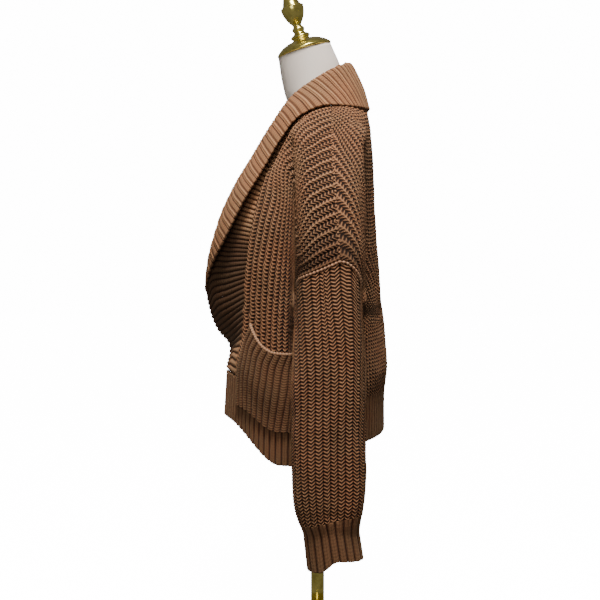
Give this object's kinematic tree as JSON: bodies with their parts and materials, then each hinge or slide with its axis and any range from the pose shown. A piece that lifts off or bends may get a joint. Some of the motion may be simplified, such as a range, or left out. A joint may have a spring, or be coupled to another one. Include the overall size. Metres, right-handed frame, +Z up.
{
  "type": "shawl collar cardigan on a dress form",
  "caption": "Chunky ribbed shawl collar cardigan with dropped shoulders, long sleeves and patch pockets, worn open on a limbless dress form with a finial.",
  "frame": {"origin": "middle of the underside of the stand's base, on the pole's axis", "axes": "+Z up; the garment's front faces -Y; the wearer's left is +X"},
  "size_m": [0.6248, 0.3523, 1.1835],
  "materials": {
    "yarn": "chunky ribbed knit in caramel brown wool yarn",
    "form_cover": "smooth off-white jersey cover",
    "brass": "polished yellow brass"
  },
  "bodies": {
    "root": {"back": "yarn", "front_left": "yarn", "front_right": "yarn", "sleeve_left": "yarn", "sleeve_right": "yarn", "cuff_left": "yarn", "cuff_right": "yarn", "hem_back": "yarn", "hem_front_left": "yarn", "hem_front_right": "yarn", "collar": "yarn", "pocket_left": "yarn", "pocket_right": "yarn", "dress_form": "form_cover", "neck_cap": "brass", "finial": "brass", "pole": "brass", "base": "brass"}
  },
  "joints": []
}
